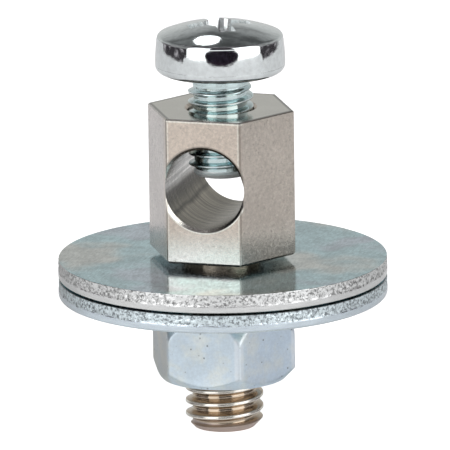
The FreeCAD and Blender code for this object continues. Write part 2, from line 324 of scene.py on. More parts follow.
class Shading(Graph):
    """The tree of a material or a world, emptied, with its noise and colours at the shaded place."""

    def __init__(self, owner, place="Object"):
        owner.use_nodes = True
        owner.node_tree.nodes.clear()
        super().__init__(owner.node_tree)
        self.owner = owner
        self.place = self.add("ShaderNodeTexCoord", output=place)

    def vector(self, operation, other, output=0):
        """Vector maths on the shaded place."""
        return self.add("ShaderNodeVectorMath", {0: self.place, 1: other}, output, operation=operation)

    def millimetres(self):
        """X, Y and Z of the shaded place, in millimetres."""
        return self.split(self.vector("MULTIPLY", (1 / MM,) * 3))

    def noise(self, scale, detail=2.0, roughness=0.5, stretch=None):
        """Noise between 0 and 1, with scale spots to a metre; stretch squeezes it along the axes."""
        place = self.vector("MULTIPLY", stretch) if stretch else self.place
        sockets = {"Vector": place, "Scale": scale, "Detail": detail, "Roughness": roughness}
        return self.add("ShaderNodeTexNoise", sockets, "Fac", noise_dimensions="3D")

    def mix(self, share, first, second):
        """From the first colour at share 0 to the second at share 1."""
        first, second = (c if isinstance(c, Term) else (*c, 1.0) for c in (first, second))
        return self.add("ShaderNodeMix", {"Factor": share, 6: first, 7: second}, 2, data_type="RGBA")

    def tint(self, first, second):
        """Two colours multiplied."""
        kind = {"data_type": "RGBA", "blend_type": "MULTIPLY"}
        return self.add("ShaderNodeMix", {0: 1.0, 6: first, 7: second}, 2, **kind)

    def vary(self, tone, share, low, high):
        """A tone that goes from one brightness at share 0 to another at share 1."""
        if isinstance(tone, Term):
            return self.tint(tone, self.mix(share, grey(low), grey(high)))
        return self.mix(share, shade(tone, low), shade(tone, high))

    def show(self, surface, kind="Material"):
        """Joins a shader to the output of the tree and returns the material or world."""
        self.add("ShaderNodeOutput" + kind, {"Surface": surface})
        return self.owner

    def metal(self, base, roughness, height, depth, metallic=1.0, glance=1.0):
        """Shows a metal of a colour, with a bump of a real depth in millimetres.

        glance is the grey that the metal turns to where it is seen along its surface.
        """
        sockets = {"Strength": 1.0, "Distance": depth * MM, "Height": height}
        bump = self.add("ShaderNodeBump", sockets, "Normal")
        sockets = {"Base Color": base, "Metallic": metallic, "Roughness": roughness, "Normal": bump}
        sockets["Specular Tint"] = (*grey(glance), 1.0)
        return self.show(self.add("ShaderNodeBsdfPrincipled", sockets, "BSDF"))


def new_shading(name):
    return Shading(bpy.data.materials.new(name))


def grey(brightness):
    return (brightness,) * 3


def shade(tone, factor):
    """A colour made lighter or darker."""
    return tuple(min(1.0, c * factor) for c in tone)


def satin_nickel(size):
    """Plated milled brass: a sandy grain, painted light that gives each side its own tone, painted
    highlights and shade on its edges and round its hole, and a painted reflection at its foot.
    """
    paint = new_shading("satin_nickel")
    mix = paint.mix
    x, y, z = paint.millimetres()
    cloud = paint.noise(260.0, 3.0)
    grain = paint.noise(3600.0, 4.0, 0.75)
    # Painted light: a lighter tone on the left side and a darker one on the right side than on the front
    clean = mix(x.ramp(-3.6, -2.6), size.left_nickel, size.nickel)
    clean = mix(x.ramp(2.8, 3.1), clean, size.right_nickel)

    # Painted highlights on the top rim and the upright rims of the front, whose upright edges stand at 2.9
    # mm in X, and a painted reflection at the foot of the front and of the right side
    front = (-y).ramp(4.6, 4.8)
    top = BLOCK_HIGH.z / MM
    top_rim = z.ramp(top - 0.24, top - 0.16) * 0.8
    upright_rims = (1.0 - abs(abs(x) - 2.76).ramp(0.03, 0.08)) * 0.55
    foot = (1.0 - z.ramp(14.2, 17.2)) * (0.5 + 0.5 * grain) * 0.8
    highlit = foot.higher_of(top_rim).higher_of(upright_rims) * front
    highlit = highlit.higher_of(foot * x.ramp(2.8, 3.0) * 0.6)
    clean = mix(highlit, clean, size.worn_nickel)

    # Chamfer of the hole in painted light: darker than the face, with a painted highlight low on the left,
    # and low on the right a painted shadow line round the hole with a painted highlight outside it
    up = z - size.bore_height / MM
    from_bore = paint.hypot(x, up) - size.bore_radius / MM
    lit_low_left = (-x * 0.7 - up * 0.7).ramp(0.2, 2.6)
    shaded_low_right = (x * 0.7 - up * 0.7).ramp(0.6, 2.2) * (1.0 - lit_low_left)
    shade_and_highlight_line = mix(1.0 - from_bore.ramp(0.16, 0.22), size.worn_nickel, grey(0.05))
    bore_rim_light = mix(lit_low_left, shade(size.nickel, 0.6), size.worn_nickel)
    bore_rim_light = mix(shaded_low_right, bore_rim_light, shade_and_highlight_line)
    clean = mix((1.0 - from_bore.ramp(0.27, 0.35)) * front, clean, bore_rim_light)

    base = paint.vary(clean, (cloud * 0.25 + grain * 0.75).ramp(0.32, 0.68), 0.74, 1.04)
    # Dark specks, and dark lines along the upright edges
    specks = paint.noise(3400.0).ramp(0.64, 0.7)
    seams = 1.0 - abs(abs(x) - 2.9).ramp(0.03, 0.09)
    darkening = (seams * 0.8).higher_of(specks * 0.45) * 0.75
    base = mix(darkening, base, shade(size.nickel, 0.25))
    return paint.metal(base, 0.2 + 0.12 * grain, grain, 0.012)


def faced_nickel(tone):
    """Plated face, turned so finely that it mirrors what stands on it, with a dark line round its edge."""
    paint = new_shading("faced_nickel")
    x, y, _ = paint.millimetres()
    aslant, half_y = x * math.sin(math.pi / 3), y * 0.5
    from_axis = abs(y).higher_of(abs(aslant + half_y)).higher_of(abs(aslant - half_y))
    grain = paint.noise(9000.0, 2.0, 0.6)
    clean = paint.vary(tone, (paint.noise(500.0, 3.0) * 0.5 + grain * 0.5).ramp(0.3, 0.7), 0.94, 1.05)
    base = paint.mix(from_axis.ramp(4.62, 4.8) * 0.75, clean, shade(tone, 0.15))
    return paint.metal(base, 0.07 + 0.06 * grain, grain, 0.0006)


def drilled_nickel(size):
    """Wall of the conductor hole: drill rings, marks along it, painted shade in dark bands low on its sides
    and painted light from its sides up.
    """
    paint = new_shading("drilled_nickel")
    rings = paint.noise(1.0, 4.0, 0.7, stretch=(60.0, 4200.0, 60.0))
    drawn = paint.noise(1.0, 3.0, 0.6, stretch=(2600.0, 90.0, 2600.0))
    stain = paint.noise(420.0, 3.0)
    _, _, z = paint.split(paint.place)
    lift = (z - size.bore_height) / (2 * size.bore_radius) + 0.5 + (stain - 0.5) * 0.06
    # Painted light and shade up the wall, from its bottom at 0 to its top at 1: dark bands low on the sides,
    # light from the sides up
    light = paint.add("ShaderNodeValToRGB", {"Fac": lift})
    stops = light.socket.node.color_ramp.elements
    heights = (0.0, 0.14, 0.185, 0.22, 0.3, 0.4, 0.5, 1.0)
    brightness = (0.62, 0.66, 0.16, 0.4, 0.2, 0.13, 0.9, 0.85)
    for _ in heights[2:]:
        stops.new(1.0)
    for stop, height, bright in zip(stops, heights, brightness):
        stop.position = height
        stop.color = (*grey(bright), 1.0)
    # Painted light: the tone turns near white from the sides of the wall up
    tone = paint.mix(lift.ramp(0.36, 0.48), size.bore_nickel, size.bore_side)
    side = lift.ramp(0.34, 0.46) * 0.7
    streaks = (rings * (1.0 - side) + drawn * side).ramp(0.36, 0.64)
    base = paint.vary(paint.tint(tone, light), streaks, 0.4, 1.0)
    return paint.metal(base, 0.16 + 0.12 * stain, rings, 0.018, glance=0.92)


def rolled_thread(name, size, bottom, tones, matt=0.0):
    """Bright thread with faint drag marks along its turns, its crests scuffed rougher and painted lighter as
    a painted highlight, and dull on its end.
    """
    tone, crest_highlight_tone, end_tone = tones
    paint = new_shading(name)
    x, y, z = paint.split(paint.place)
    end = bottom + size.end_chamfer
    dull = 1.0 - z.ramp(end - 0.07 * MM, end)
    # Crests: scuffed rougher, and painted lighter as a painted highlight
    rubbed_and_highlit = paint.hypot(x, y).ramp(size.root + (size.crest - size.root) * 0.88, size.crest)
    drag = paint.noise(1.0, 3.0, 0.6, stretch=(500.0, 500.0, 9000.0))
    stain = paint.noise(900.0, 3.0)
    plated = paint.vary(tone, (drag * 0.5 + stain * 0.5).ramp(0.3, 0.7), 0.84, 1.1)
    base = paint.mix(rubbed_and_highlit * 0.8, paint.mix(dull, plated, end_tone), crest_highlight_tone)
    roughness = 0.09 + 0.08 * stain + 0.1 * rubbed_and_highlit + 0.3 * dull
    return paint.metal(base, roughness, drag, 0.003, metallic=1.0 - matt * dull)


def polished_zinc(tone):
    """Mirror-bright plating of the screw's head with a few soft ripples."""
    paint = new_shading("polished_zinc")
    haze = paint.noise(2600.0, 5.0, 0.6)
    base = paint.vary(tone, haze.ramp(0.3, 0.7), 0.92, 1.05)
    return paint.metal(base, 0.04 + 0.04 * haze, paint.noise(1100.0, 3.0), 0.006)


def recess_zinc(tone):
    """Punched walls of the recess, whose plating is brushed dull, and painted lighter than the head's
    plating as painted light.
    """
    paint = new_shading("recess_zinc")
    strokes = paint.noise(1.0, 3.0, 0.6, stretch=(7000.0, 7000.0, 900.0))
    base = paint.vary(tone, strokes.ramp(0.3, 0.7), 1.0, 1.3)
    return paint.metal(base, 0.14 + 0.12 * strokes, strokes, 0.004)


def sheet_zinc(size):
    """Rolled sheet, plated: patches of three tints, a fine grain and short scratches both ways."""
    paint = new_shading("sheet_zinc")
    patches = paint.noise(90.0, 3.0, 0.55)
    cloud = paint.noise(700.0, 4.0)
    fine = paint.noise(1.0, 4.0, 0.75, stretch=(5200.0, 1500.0, 5200.0))
    along = paint.noise(1.0, stretch=(400.0, 9000.0, 400.0))
    across = paint.noise(1.0, stretch=(9000.0, 400.0, 400.0))
    scratch = along.higher_of(across).ramp(0.62, 0.74)
    cool = paint.mix(patches.ramp(0.36, 0.44), size.lilac_zinc, size.zinc)
    tinted = paint.mix(patches.ramp(0.48, 0.6), cool, size.warm_zinc)
    base = paint.vary(tinted, (cloud * 0.35 + fine * 0.65).ramp(0.32, 0.68), 0.56, 1.08)
    roughness = 0.09 + 0.1 * fine + 0.08 * scratch
    return paint.metal(base, roughness, fine * 0.6 + scratch * 0.4, 0.0025)


def torn_zinc(name, tone, torn_from, top, seam):
    """Rim of a punched washer: torn grain over a smooth sheared band, painted shade towards its far left and
    right, and a painted shadow where two washers meet.
    """
    paint = new_shading(name)
    mix = paint.mix
    x, _, z = paint.millimetres()
    grain = paint.noise(4300.0, 4.0, 0.75)
    ragged = z + (paint.noise(1500.0, 3.0, 0.6) - 0.5) * 0.7
    torn = ragged.ramp(torn_from / MM, torn_from / MM + 0.1) * (1.0 - z.ramp(top / MM - 0.06, top / MM))
    smooth = paint.noise(1.0, 3.0, stretch=(900.0, 900.0, 6000.0)).ramp(0.2, 0.8)
    sheared = paint.vary(tone, smooth, 0.92, 1.06)
    clean = mix(torn, sheared, paint.vary(tone, grain.ramp(0.38, 0.56), 0.32, 1.18))
    # Painted shade towards the far left and right of the rim, and a painted shadow where the two washers
    # meet
    ends = ((-x).ramp(7, 12) * 0.5).higher_of(x.ramp(7, 12) * 0.15)
    darkening = 1.0 - abs(z - seam / MM).ramp(0.05, 0.14)
    base = mix(darkening, mix(ends, clean, grey(0.1)), grey(0.01))
    return paint.metal(base, 0.2 + 0.15 * torn, grain * torn, 0.025)


def dull_zinc(name, tone, pale_tone):
    """Tumbled plating with small dark pits and paler scuffed patches, painted shade on its left and right
    sides and a painted highlight on its corners away from the left.
    """
    paint = new_shading(name)
    mix = paint.mix
    x, y, _ = paint.millimetres()
    cloud = paint.noise(420.0, 4.0)
    grain = paint.noise(4600.0, 4.0, 0.65)
    cells = paint.add("ShaderNodeTexVoronoi", {"Vector": paint.place, "Scale": 1700.0}, "Distance")
    pits = (1.0 - cells.ramp(0.08, 0.16)) * paint.noise(1100.0, 1.0).ramp(0.38, 0.46)
    patched = mix(paint.noise(600.0, 4.0, 0.6).ramp(0.4, 0.7), tone, pale_tone)
    # Painted shade: the left side darker and warmer, the right side a little darker and cooler
    side = mix(x.ramp(-3.4, -2.8), (0.8, 0.74, 0.68), grey(1.0))
    side = mix(x.ramp(2.8, 3.2), side, (0.89, 0.9, 0.94))
    clean = paint.vary(paint.tint(patched, side), (cloud * 0.4 + grain * 0.6).ramp(0.3, 0.7), 0.84, 1.0)
    # A painted highlight on the upright corners away from the left
    corner = paint.hypot(x, y).ramp(5.47, 5.55) * x.ramp(-2, 0) * 0.3
    clean = mix(corner, clean, (0.97, 0.98, 1.0))
    base = mix(pits * 0.85, clean, shade(tone, 0.25))
    return paint.metal(base, 0.28 + 0.14 * grain, grain * 0.5 + cloud * 0.5 - pits * 0.8, 0.006)


# Mesh helpers


def new_object(name, mesh, *materials):
    """An object at the origin that shows a mesh."""
    piece = bpy.data.objects.new(name, mesh)
    bpy.context.scene.collection.objects.link(piece)
    for material in materials:
        mesh.materials.append(material)
    return piece


def to_mesh(work, name):
    mesh = bpy.data.meshes.new(name)
    work.to_mesh(mesh)
    work.free()
    return mesh


@contextmanager
def editing(mesh):
    """A mesh opened for a change and written back."""
    work = bmesh.new()
    work.from_mesh(mesh)
    yield work
    work.to_mesh(mesh)
    work.free()


def bake_modifiers(piece):
    """Turns the result of a piece's modifiers into its plain mesh."""
    graph = bpy.context.evaluated_depsgraph_get()
    evaluated = piece.evaluated_get(graph)
    mesh = bpy.data.meshes.new_from_object(evaluated, preserve_all_data_layers=True, depsgraph=graph)
    piece.modifiers.clear()
    piece.data = mesh
    mesh.name = piece.name


def smooth_by_angle(mesh, degrees):
    """Smooth shading with sharp edges where faces meet at more than a limit."""
    with editing(mesh) as work:
        for face in work.faces:
            face.smooth = True
        for edge in work.edges:
            edge.smooth = edge.calc_face_angle(math.pi) < math.radians(degrees)


def soften(piece):
    """Smooth shading that leaves large flat faces their own beside small rounded edges."""
    smooth_by_angle(piece.data, 40)
    piece.modifiers.new("weights", "WEIGHTED_NORMAL").keep_sharp = True
    bake_modifiers(piece)


def fillet(before, corner, after, radius, steps=8):
    """Points of an arc that rounds one corner of a section, between its neighbours."""
    corner = Vector(corner)
    back = (Vector(before) - corner).normalized()
    ahead = (Vector(after) - corner).normalized()
    half = back.angle(ahead) / 2
    centre = corner + (back + ahead).normalized() * (radius / math.sin(half))
    start = corner + back * (radius / math.tan(half)) - centre
    end = corner + ahead * (radius / math.tan(half)) - centre
    turn = start.angle_signed(end)
    return [tuple(centre + Matrix.Rotation(-turn * i / steps, 2) @ start) for i in range(steps + 1)]


def skin(work, rings):
    """Faces between each ring of points and the next."""
    for low, high in zip(rings, rings[1:]):
        for i in range(len(low)):
            j = (i + 1) % len(low)
            work.faces.new(list(dict.fromkeys((low[i], low[j], high[j], high[i]))))


def lathe(section, columns, closed=False):
    """A solid turned from a section of (radius, height) points; a closed section makes a ring."""
    work = bmesh.new()
    turns = [2 * math.pi * c / columns for c in range(columns)]
    rings = []
    for r, z in section:
        if r == 0:
            rings.append([work.verts.new((0, 0, z))] * columns)
        else:
            rings.append([work.verts.new((r * math.cos(t), r * math.sin(t), z)) for t in turns])
    skin(work, rings + rings[:1] if closed else rings)
    bmesh.ops.recalc_face_normals(work, faces=work.faces)
    return work


def join_pieces(target, other):
    """Moves the mesh and the materials of another piece into a target."""
    slots = len(target.data.materials)
    with editing(target.data) as work:
        faces = len(work.faces)
        work.from_mesh(other.data)
        work.faces.ensure_lookup_table()
        for face in work.faces[faces:]:
            face.material_index += slots
    for material in other.data.materials:
        target.data.materials.append(material)
    bpy.data.objects.remove(other)


def dress(piece, body, slot, *nodes):
    """Ties a finished piece to its CAD body and hides the nodes it stands for; its slot is not used."""
    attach(piece, body)
    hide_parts(*nodes)


# Geometry node trees


def new_tree(name, sizes, counts):
    """The graph of a geometry node tree with named inputs, and the terms of those inputs."""
    tree = bpy.data.node_groups.new(name, "GeometryNodeTree")
    tree.interface.new_socket("Geometry", in_out="OUTPUT", socket_type="NodeSocketGeometry")
    kinds = {**dict.fromkeys(sizes, "Float"), **dict.fromkeys(counts, "Int"), "Material": "Material"}
    for label, kind in kinds.items():
        tree.interface.new_socket(label, in_out="INPUT", socket_type="NodeSocket" + kind)
    graph = Graph(tree)
    source = tree.nodes.new("NodeGroupInput")
    return graph, {label: Term(graph, source.outputs[label]) for label in kinds}


def grid(graph, columns, rows):
    """A grid of one by one, with the terms of its two coordinates from 0 to 1."""
    sockets = {"Size X": 1.0, "Size Y": 1.0, "Vertices X": columns + 1, "Vertices Y": rows + 1}
    mesh = graph.add("GeometryNodeMeshGrid", sockets, "Mesh")
    across, along, _ = graph.split(graph.add("GeometryNodeInputPosition"))
    return mesh, across + 0.5, along + 0.5


def wrap_grid(graph, mesh, radius, turn, height, material):
    """Bends a grid round the Z axis, closes its seams and ends the tree."""
    x, y = radius * graph.math("COSINE", turn), radius * graph.math("SINE", turn)
    place = graph.add("ShaderNodeCombineXYZ", {0: x, 1: y, 2: height})
    shape = graph.add("GeometryNodeSetPosition", {"Geometry": mesh, "Position": place})
    for kind, sockets in (
        ("MergeByDistance", {"Distance": WELD}),
        ("SetShadeSmooth", {"Shade Smooth": True}),
        ("RealizeInstances", {}),
        ("SetMaterial", {"Material": material}),
    ):
        shape = graph.add("GeometryNode" + kind, {"Geometry": shape, **sockets})
    graph.add("NodeGroupOutput", {"Geometry": shape})
    return graph.tree


def thread_tree():
    """A right-hand threaded rod: a grid whose rows follow the thread, closed at both ends."""
    profile = ("Pitch", "Crest", "Root", "First Crest", "Crest Width", "Root Start")
    ends = ("Bottom", "Top", "End Radius", "End Chamfer", "Neck", "Neck Length", "Neck Flare")
    graph, size = new_tree("threaded_rod", profile + ends, ("Turns", "Columns", "Rows per Turn"))
    pitch, bottom, crest = size["Pitch"], size["Bottom"], size["Crest"]
    mesh, across, along = grid(graph, size["Columns"], size["Turns"] * size["Rows per Turn"])
    height = bottom - pitch + along * size["Turns"] * pitch + across * pitch
    height = height.within(bottom, size["Top"])
    phase = (height - size["First Crest"]) / pitch - across
    from_crest = abs(graph.math("WRAP", phase, 0.5, -0.5)) * 2.0
    depth = from_crest.ramp(size["Crest Width"], size["Root Start"])
    thread = crest - (crest - size["Root"]) * depth
    neck_start = size["Top"] - size["Neck Length"]
    thread = thread + (size["Neck"] - thread) * height.ramp(neck_start - pitch * 0.8, neck_start)
    above = (height - size["Top"] + size["Neck Length"]).higher_of(0.0)
    thread = thread + above * above / (2.0 * size["Neck Flare"])
    chamfer = size["End Radius"] + (crest - size["End Radius"]) * (height - bottom) / size["End Chamfer"]
    # The first and the last row meet on the axis
    ringed = graph.math("LESS_THAN", abs(along - 0.5), 0.49999)
    radius = thread.lower_of(chamfer) * ringed
    return wrap_grid(graph, mesh, radius, across * (2 * math.pi), height, size["Material"])


def nut_tree():
    """A hexagon nut: one grid wound round its section, cut in to the hexagon and the corner cones."""
    body = ("Bottom", "Top", "Across Flats", "Corner Rounding", "Bore", "Bore Chamfer", "Turn")
    cones = ("Face Radius", "Top Face Radius", "Chamfer", "Top Chamfer", "Chamfer Rounding")
    graph, size = new_tree("hexagon_nut", body + cones, ("Columns", "Wall Rows", "Face Rows"))
    wall, face = size["Wall Rows"], size["Face Rows"]
    rows = 2.0 * (wall + face)
    mesh, across, along = grid(graph, size["Columns"], rows)
    row = along * rows
    stretches = ((0.0, wall), (wall, face), (wall + face, wall), (2.0 * wall + face, face))
    up, inwards, down, outwards = (((row - start) / span).within(0.0, 1.0) for start, span in stretches)
    height = size["Bottom"] + (size["Top"] - size["Bottom"]) * (up - down)
    turn = across * (2 * math.pi)
    sixth = math.pi / 3
    from_flat = graph.math("WRAP", turn - size["Turn"], sixth, 0.0) - sixth / 2
    half = size["Across Flats"] * 0.5
    near = half / graph.math("COSINE", from_flat)
    far = half / graph.math("COSINE", sixth - abs(from_flat))
    prism = graph.math("SMOOTH_MIN", near, far, size["Corner Rounding"])
    from_bottom, from_top = height - size["Bottom"], size["Top"] - height
    low_cone = size["Face Radius"] + from_bottom / graph.math("TANGENT", size["Chamfer"])
    top_cone = size["Top Face Radius"] + from_top / graph.math("TANGENT", size["Top Chamfer"])
    cone = low_cone.lower_of(top_cone)
    outside = graph.math("SMOOTH_MIN", prism, cone, size["Chamfer Rounding"])
    bore = size["Bore"] + (size["Bore Chamfer"] - from_bottom.lower_of(from_top)).higher_of(0.0)
    radius = outside + (bore - outside) * (inwards - outwards)
    return wrap_grid(graph, mesh, radius, turn, height, size["Material"])


def grow(name, tree, size, values):
    """Runs a tree on an empty mesh; an input without a value takes the setting of the same name."""
    piece = new_object(name, bpy.data.meshes.new(name))
    modifier = piece.modifiers.new("shape", "NODES")
    modifier.node_group = tree
    for item in tree.interface.items_tree:
        if item.in_out == "INPUT":
            own = getattr(size, item.name.lower().replace(" ", "_"), None)
            modifier[item.identifier] = values.get(item.name, own)
    bake_modifiers(piece)
    piece.data.materials.clear()
    piece.data.materials.append(values["Material"])
    with editing(piece.data) as work:
        bmesh.ops.dissolve_degenerate(work, edges=work.edges, dist=0.4 * WELD)
        bmesh.ops.recalc_face_normals(work, faces=work.faces)
        for face in work.faces:
            face.material_index = 0
    return piece


def threaded_rod(name, size, material, bottom, underside, buried):
    """A threaded rod up to an underside, with a plain stretch that is buried in the piece above it."""
    values = {
        "Bottom": bottom,
        "Top": underside + buried,
        "Turns": math.ceil((underside - bottom) / size.pitch) + 2,
        "Columns": 96,
        "Rows per Turn": 20,
        "Material": material,
    }
    return grow(name, thread_tree(), size, values)


# Operators


class TERMINAL_OT_block(bpy.types.Operator):
    """Block with its conductor hole, and the threaded stud under it"""

    bl_idname = "terminal.block"
    bl_label = "Block and Stud"

    def hexagon(self, size):
        """The block of the CAD, without the stud."""
        work = bmesh.new()
        work.from_mesh(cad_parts["clamp_body"].data)
        bmesh.ops.remove_doubles(work, verts=work.verts, dist=WELD)
        stud = [f for f in work.faces if f.calc_center_median().z < size.underside - 0.001 * MM]
        bmesh.ops.delete(work, geom=stud, context="FACES")
        bmesh.ops.holes_fill(work, edges=[e for e in work.edges if e.is_boundary])
        bmesh.ops.recalc_face_normals(work, faces=work.faces)
        satin, drilled, faced = range(3)
        axis = Vector((0, 0, size.bore_height))
        for face in work.faces:
            middle = face.calc_center_median() - axis
            middle.y = 0
            on_bore = abs(middle.length - size.bore_radius) < 0.2 * MM
            if on_bore and face.normal.dot(middle.normalized()) < -FACING:
                face.material_index = drilled
            else:
                face.material_index = faced if face.normal.z > FACING else satin
        return to_mesh(work, "block_and_stud")

    def execute(self, context):
        size = context.scene.terminal_block
        materials = satin_nickel(size), drilled_nickel(size), faced_nickel(size.faced_nickel)
        block = new_object("block_and_stud", self.hexagon(size), *materials)
        tones = size.stud_nickel, size.stud_crest, size.stud_end
        thread = rolled_thread("stud_thread", size, BLOCK_LOW.z, tones)
        ends = {"bottom": BLOCK_LOW.z, "underside": size.underside, "buried": 0.3 * MM}
        join_pieces(block, threaded_rod("stud", size, thread, **ends))
        soften(block)
        dress(block, "terminal", "nickel_plated_brass", "clamp_body")
        return {"FINISHED"}


class TERMINAL_OT_screw(bpy.types.Operator):
    """Pan head screw with a cross recess and a threaded shank"""

    bl_idname = "terminal.screw"
    bl_label = "Clamping Screw"

    def head(self, size):
        """The head, turned about its own axis, with the recess cut in."""
        base, radius = size.head_underside, size.head_radius
        shoulder, crown = base + size.shoulder_height, base + size.head_height
        rise = crown - shoulder
        dome = (size.shoulder_radius**2 + rise**2) / (2 * rise)
        steps = 20
        edge = math.asin(size.shoulder_radius / dome)
        tops = [edge * (steps - i) / steps for i in range(1, steps)]
        arc = [(dome * math.sin(a), crown - dome + dome * math.cos(a)) for a in tops] + [(0, crown)]
        lower = fillet((0, base), (radius, base), (radius, crown), size.lower_rounding)
        widest = base + size.lower_rounding
        draw_in = radius - size.shoulder_radius
        barrel = ((shoulder - widest) ** 2 + draw_in**2) / (2 * draw_in)
        lean = math.asin((shoulder - widest) / barrel)
        leans = [lean * i / steps for i in range(1, steps)]
        flank = [(radius - barrel * (1 - math.cos(a)), widest + barrel * math.sin(a)) for a in leans]
        upper = fillet(flank[-2], (size.shoulder_radius, shoulder), arc[0], size.shoulder_rounding)
        section = [(0, base), (size.neck, base), *lower, *flank[:-1], *upper, *arc]
        materials = polished_zinc(size.zinc), recess_zinc(size.zinc)
        head = new_object("screw_head_and_shank", to_mesh(lathe(section, columns=160), "screw"), *materials)
        self.cut(head, self.recess(size, crown))
        middle = Vector((0, 0, crown - dome))
        for face in head.data.polygons:
            x, y, z = face.center
            sunk = dome - (face.center - middle).length > 0.02 * MM
            face.material_index = int(sunk and math.hypot(x, y) < size.recess_reach and z > widest)
        return head

    def cut(self, head, recess):
        """Cuts the solid of a recess out of the head."""
        cutter = new_object("recess", recess)
        modifier = head.modifiers.new("recess", "BOOLEAN")
        modifier.operation = "DIFFERENCE"
        modifier.solver = "EXACT"
        modifier.use_self = True
        modifier.object = cutter
        bake_modifiers(head)
        bpy.data.objects.remove(cutter)

    def recess(self, size, crown):
        """Four tapered wings round a core with a conical point."""
        floor, over, inner = crown - size.recess_depth, crown + 0.6 * MM, -0.1 * MM
        levels = (
            (floor, size.recess_floor_reach, size.recess_floor_width / 2),
            (crown, size.recess_reach, size.recess_width / 2),
            (over, size.recess_reach, size.recess_width / 2),
        )
        work = bmesh.new()
        for quarter in range(4):
            turn = Matrix.Rotation(size.recess_turn + quarter * math.pi / 2, 3, "Z")
            rings = []
            for z, reach, half in levels:
                corners = ((inner, -half), (reach, -half), (reach, half), (inner, half))
                rings.append([work.verts.new(turn @ Vector((x, y, z))) for x, y in corners])
            skin(work, rings)
            work.faces.new(rings[0])
            work.faces.new(rings[-1])
        bmesh.ops.recalc_face_normals(work, faces=work.faces)
        wings = to_mesh(work, "wings")
        point = (0, floor - size.recess_point)
        wall = (size.recess_core_floor, floor), (size.recess_core, crown), (size.recess_core, over)
        core = lathe([point, *wall, (0, over)], columns=48)
        core.from_mesh(wings)
        return to_mesh(core, "recess")

    def execute(self, context):
        size = context.scene.terminal_screw
        head = self.head(size)
        tones = size.thread_zinc, size.crest_zinc, size.end_zinc
        thread = rolled_thread("screw_thread", size, SCREW_LOW.z, tones, matt=0.7)
        ends = {"bottom": SCREW_LOW.z, "underside": size.head_underside, "buried": 0.2 * MM}
        join_pieces(head, threaded_rod("shank", size, thread, **ends))
        soften(head)
        dress(head, "screw", "bright_zinc_steel", "clamping_screw")
        return {"FINISHED"}


class TERMINAL_OT_washers(bpy.types.Operator):
    """Large washers, punched from sheet, with a torn band round the rim"""

    bl_idname = "terminal.washers"
    bl_label = "Large Washers"

    def torn(self, size, place, low, high):
        """How far a rim point is torn inwards."""

        def held(value):
            return min(1.0, max(0.0, value))

        fade_in, fade_out = 0.08, 0.05
        coarse, fine = 4200, 9500
        up = (place.z - low) / (high - low)
        band = held((up - (1 - size.torn_share)) / fade_in) * held((1 - up) / fade_out)
        rough = noise.noise(place * coarse) * 0.6 + noise.noise(place * fine) * 0.4
        return size.torn_depth * band * held(0.5 + rough)

    def sheet(self, size, outer, low, high):
        """A washer between two heights, with its rim in the second material."""
        corners = [(outer, low), (outer, high), (size.hole, high), (size.hole, low)] * 2
        rounding = ((size.burr, 3), (size.hole_rounding, 4), (size.hole_rounding, 4))
        section = fillet(corners[3], corners[0], corners[1], size.roll)
        first, last = low + size.roll, high - size.burr
        section += [(outer, first + (last - first) * i / size.rows) for i in range(1, size.rows)]
        for i, (radius, steps) in enumerate(rounding):
            section += fillet(*corners[i : i + 3], radius, steps)
        work = lathe(section, size.columns, closed=True)
        for vertex in work.verts:
            flat = Vector((vertex.co.x, vertex.co.y, 0))
            if flat.length > outer - 0.02 * MM:
                vertex.co -= flat.normalized() * self.torn(size, vertex.co, low, high)
        for face in work.faces:
            x, y, _ = face.calc_center_median()
            at_rim = math.hypot(x, y) > outer - 0.12 * MM
            face.material_index = int(at_rim and abs(face.normal.z) < FACING)
        return work

    def execute(self, context):
        size = context.scene.terminal_washers
        sheet = sheet_zinc(size)
        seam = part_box(WASHERS[0])[0].z
        for node, tone in zip(WASHERS, (size.upper_rim, size.lower_rim)):
            low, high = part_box(node)
            torn_from = high.z - (high.z - low.z) * size.torn_share
            rim = torn_zinc("torn_rim_" + node, tone, torn_from, high.z, seam)
            name = node + "_sheet"
            piece = new_object(name, to_mesh(self.sheet(size, high.x, low.z, high.z), name), sheet, rim)
            soften(piece)
            dress(piece, "washers", "zinc_sheet_steel", node)
        return {"FINISHED"}


class TERMINAL_OT_lock_washer(bpy.types.Operator):
    """Finish of the toothed lock washer, whose CAD shape is kept"""

    bl_idname = "terminal.lock_washer"
    bl_label = "Lock Washer"

    def execute(self, context):
        size = context.scene.terminal_nut
        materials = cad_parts["lock_washer"].data.materials
        materials.clear()
        materials.append(dull_zinc("spring_zinc", size.spring_zinc, size.pale_spring))
        return {"FINISHED"}


class TERMINAL_OT_nut(bpy.types.Operator):
    """Hexagon nut with worn corners"""

    bl_idname = "terminal.nut"
    bl_label = "Hexagon Nut"

    def execute(self, context):
        size = context.scene.terminal_nut
        values = {
            "Bottom": NUT_LOW.z,
            "Top": NUT_HIGH.z,
            "Columns": 480,
            "Wall Rows": 60,
            "Face Rows": 10,
            "Material": dull_zinc("dull_zinc", size.zinc, size.pale_zinc),
        }
        nut = grow("hexagon_nut", nut_tree(), size, values)
        smooth_by_angle(nut.data, 35)
        dress(nut, "nut", "dull_zinc_steel", "hex_nut")
        return {"FINISHED"}


def around(azimuth):
    """Level directions away from the object at a turn about it, and to the right as seen from there."""
    sine, cosine = math.sin(azimuth), math.cos(azimuth)
    return Vector((sine, -cosine, 0)), Vector((cosine, sine, 0))


def disc(name, segments, place):
    """A flat disc whose points are put in place from their coordinates in a circle of radius 1."""
    work = bmesh.new()
    bmesh.ops.create_circle(work, cap_ends=True, segments=segments, radius=1.0)
    for vertex in work.verts:
        vertex.co = place(*vertex.co)
    return to_mesh(work, name)


